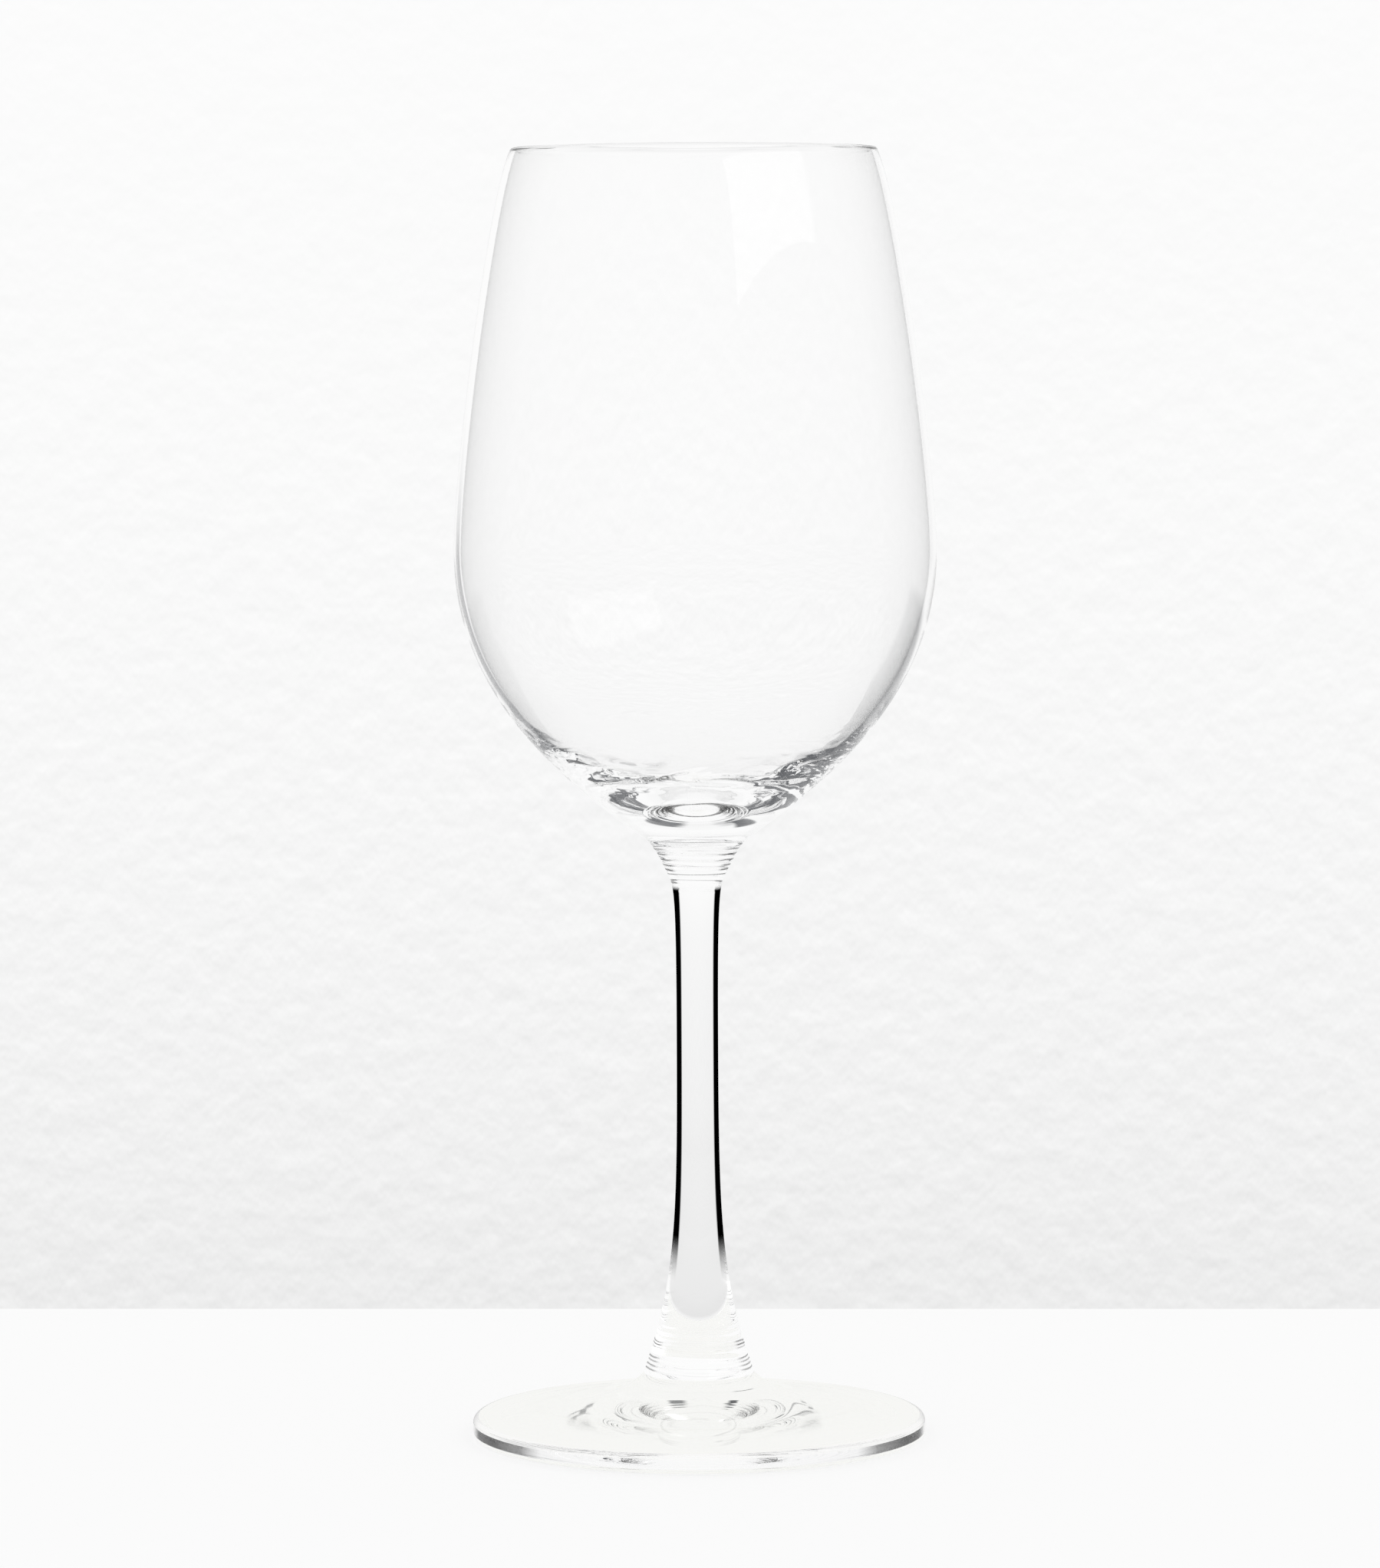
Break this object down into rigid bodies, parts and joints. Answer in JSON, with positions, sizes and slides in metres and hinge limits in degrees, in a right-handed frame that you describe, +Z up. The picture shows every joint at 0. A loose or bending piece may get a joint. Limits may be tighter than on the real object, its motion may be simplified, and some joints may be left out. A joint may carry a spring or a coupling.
{
  "type": "wine glass",
  "caption": "Clear stemmed wine glass with a turned-in tulip bowl, a slim solid stem flared at both ends and a round foot with a hollowed underside.",
  "frame": {"origin": "centre of the ring that the foot rests on, in the plane of the table", "axes": "+Z up along the glass's axis, through stem and bowl; X and Y are any two level directions, because the glass is round"},
  "size_m": [0.0798, 0.0798, 0.214],
  "materials": {
    "bowl_glass": "clear blown soda-lime glass, fire-polished",
    "stem_glass": "clear pressed soda-lime glass, fire-polished",
    "foot_glass": "clear pressed soda-lime glass, fire-polished"
  },
  "bodies": {
    "root": {"bowl": "bowl_glass", "stem": "stem_glass", "foot": "foot_glass"}
  },
  "joints": []
}
